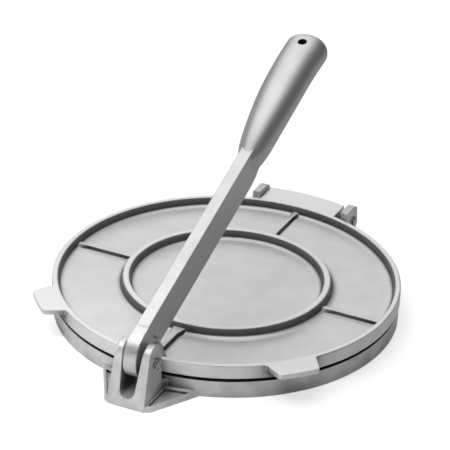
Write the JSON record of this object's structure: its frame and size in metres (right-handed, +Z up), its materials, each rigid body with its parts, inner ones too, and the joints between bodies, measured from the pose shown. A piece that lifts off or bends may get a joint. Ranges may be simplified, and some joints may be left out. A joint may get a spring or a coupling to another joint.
{
  "type": "tortilla press",
  "caption": "Hand-operated cast aluminium tortilla press: round ribbed base, hinged ribbed top plate, long pressing lever with a hanging hole.",
  "frame": {"origin": "centre of the disc-shaped base on the table", "axes": "+Z up, +Y towards the plate hinge, -Y towards the lever clevis, +X to the right"},
  "size_m": [0.21, 0.2513, 0.1393],
  "materials": {
    "cast_metal": "satin cast aluminium",
    "pin_steel": "drawn bar"
  },
  "bodies": {
    "base": {"base_casting": "cast_metal", "lever_pin": "pin_steel", "hinge_pin": "pin_steel"},
    "plate": {"top_plate": "cast_metal"},
    "arm": {"lever": "cast_metal"}
  },
  "joints": [
    {"name": "lever_hinge", "type": "hinge", "parent": "base", "child": "arm", "pos_m": [0, -0.116, 0.0249], "axis": [1, 0, 0], "range_deg": [0, 145]},
    {"name": "plate_hinge", "type": "hinge", "parent": "base", "child": "plate", "pos_m": [0, 0.112, 0.0155], "axis": [-1, 0, 0], "range_deg": [0, 11.6]}
  ],
  "couplings": [
    {"joint": "plate_hinge", "follows": "lever_hinge", "ratio": 0.08}
  ]
}
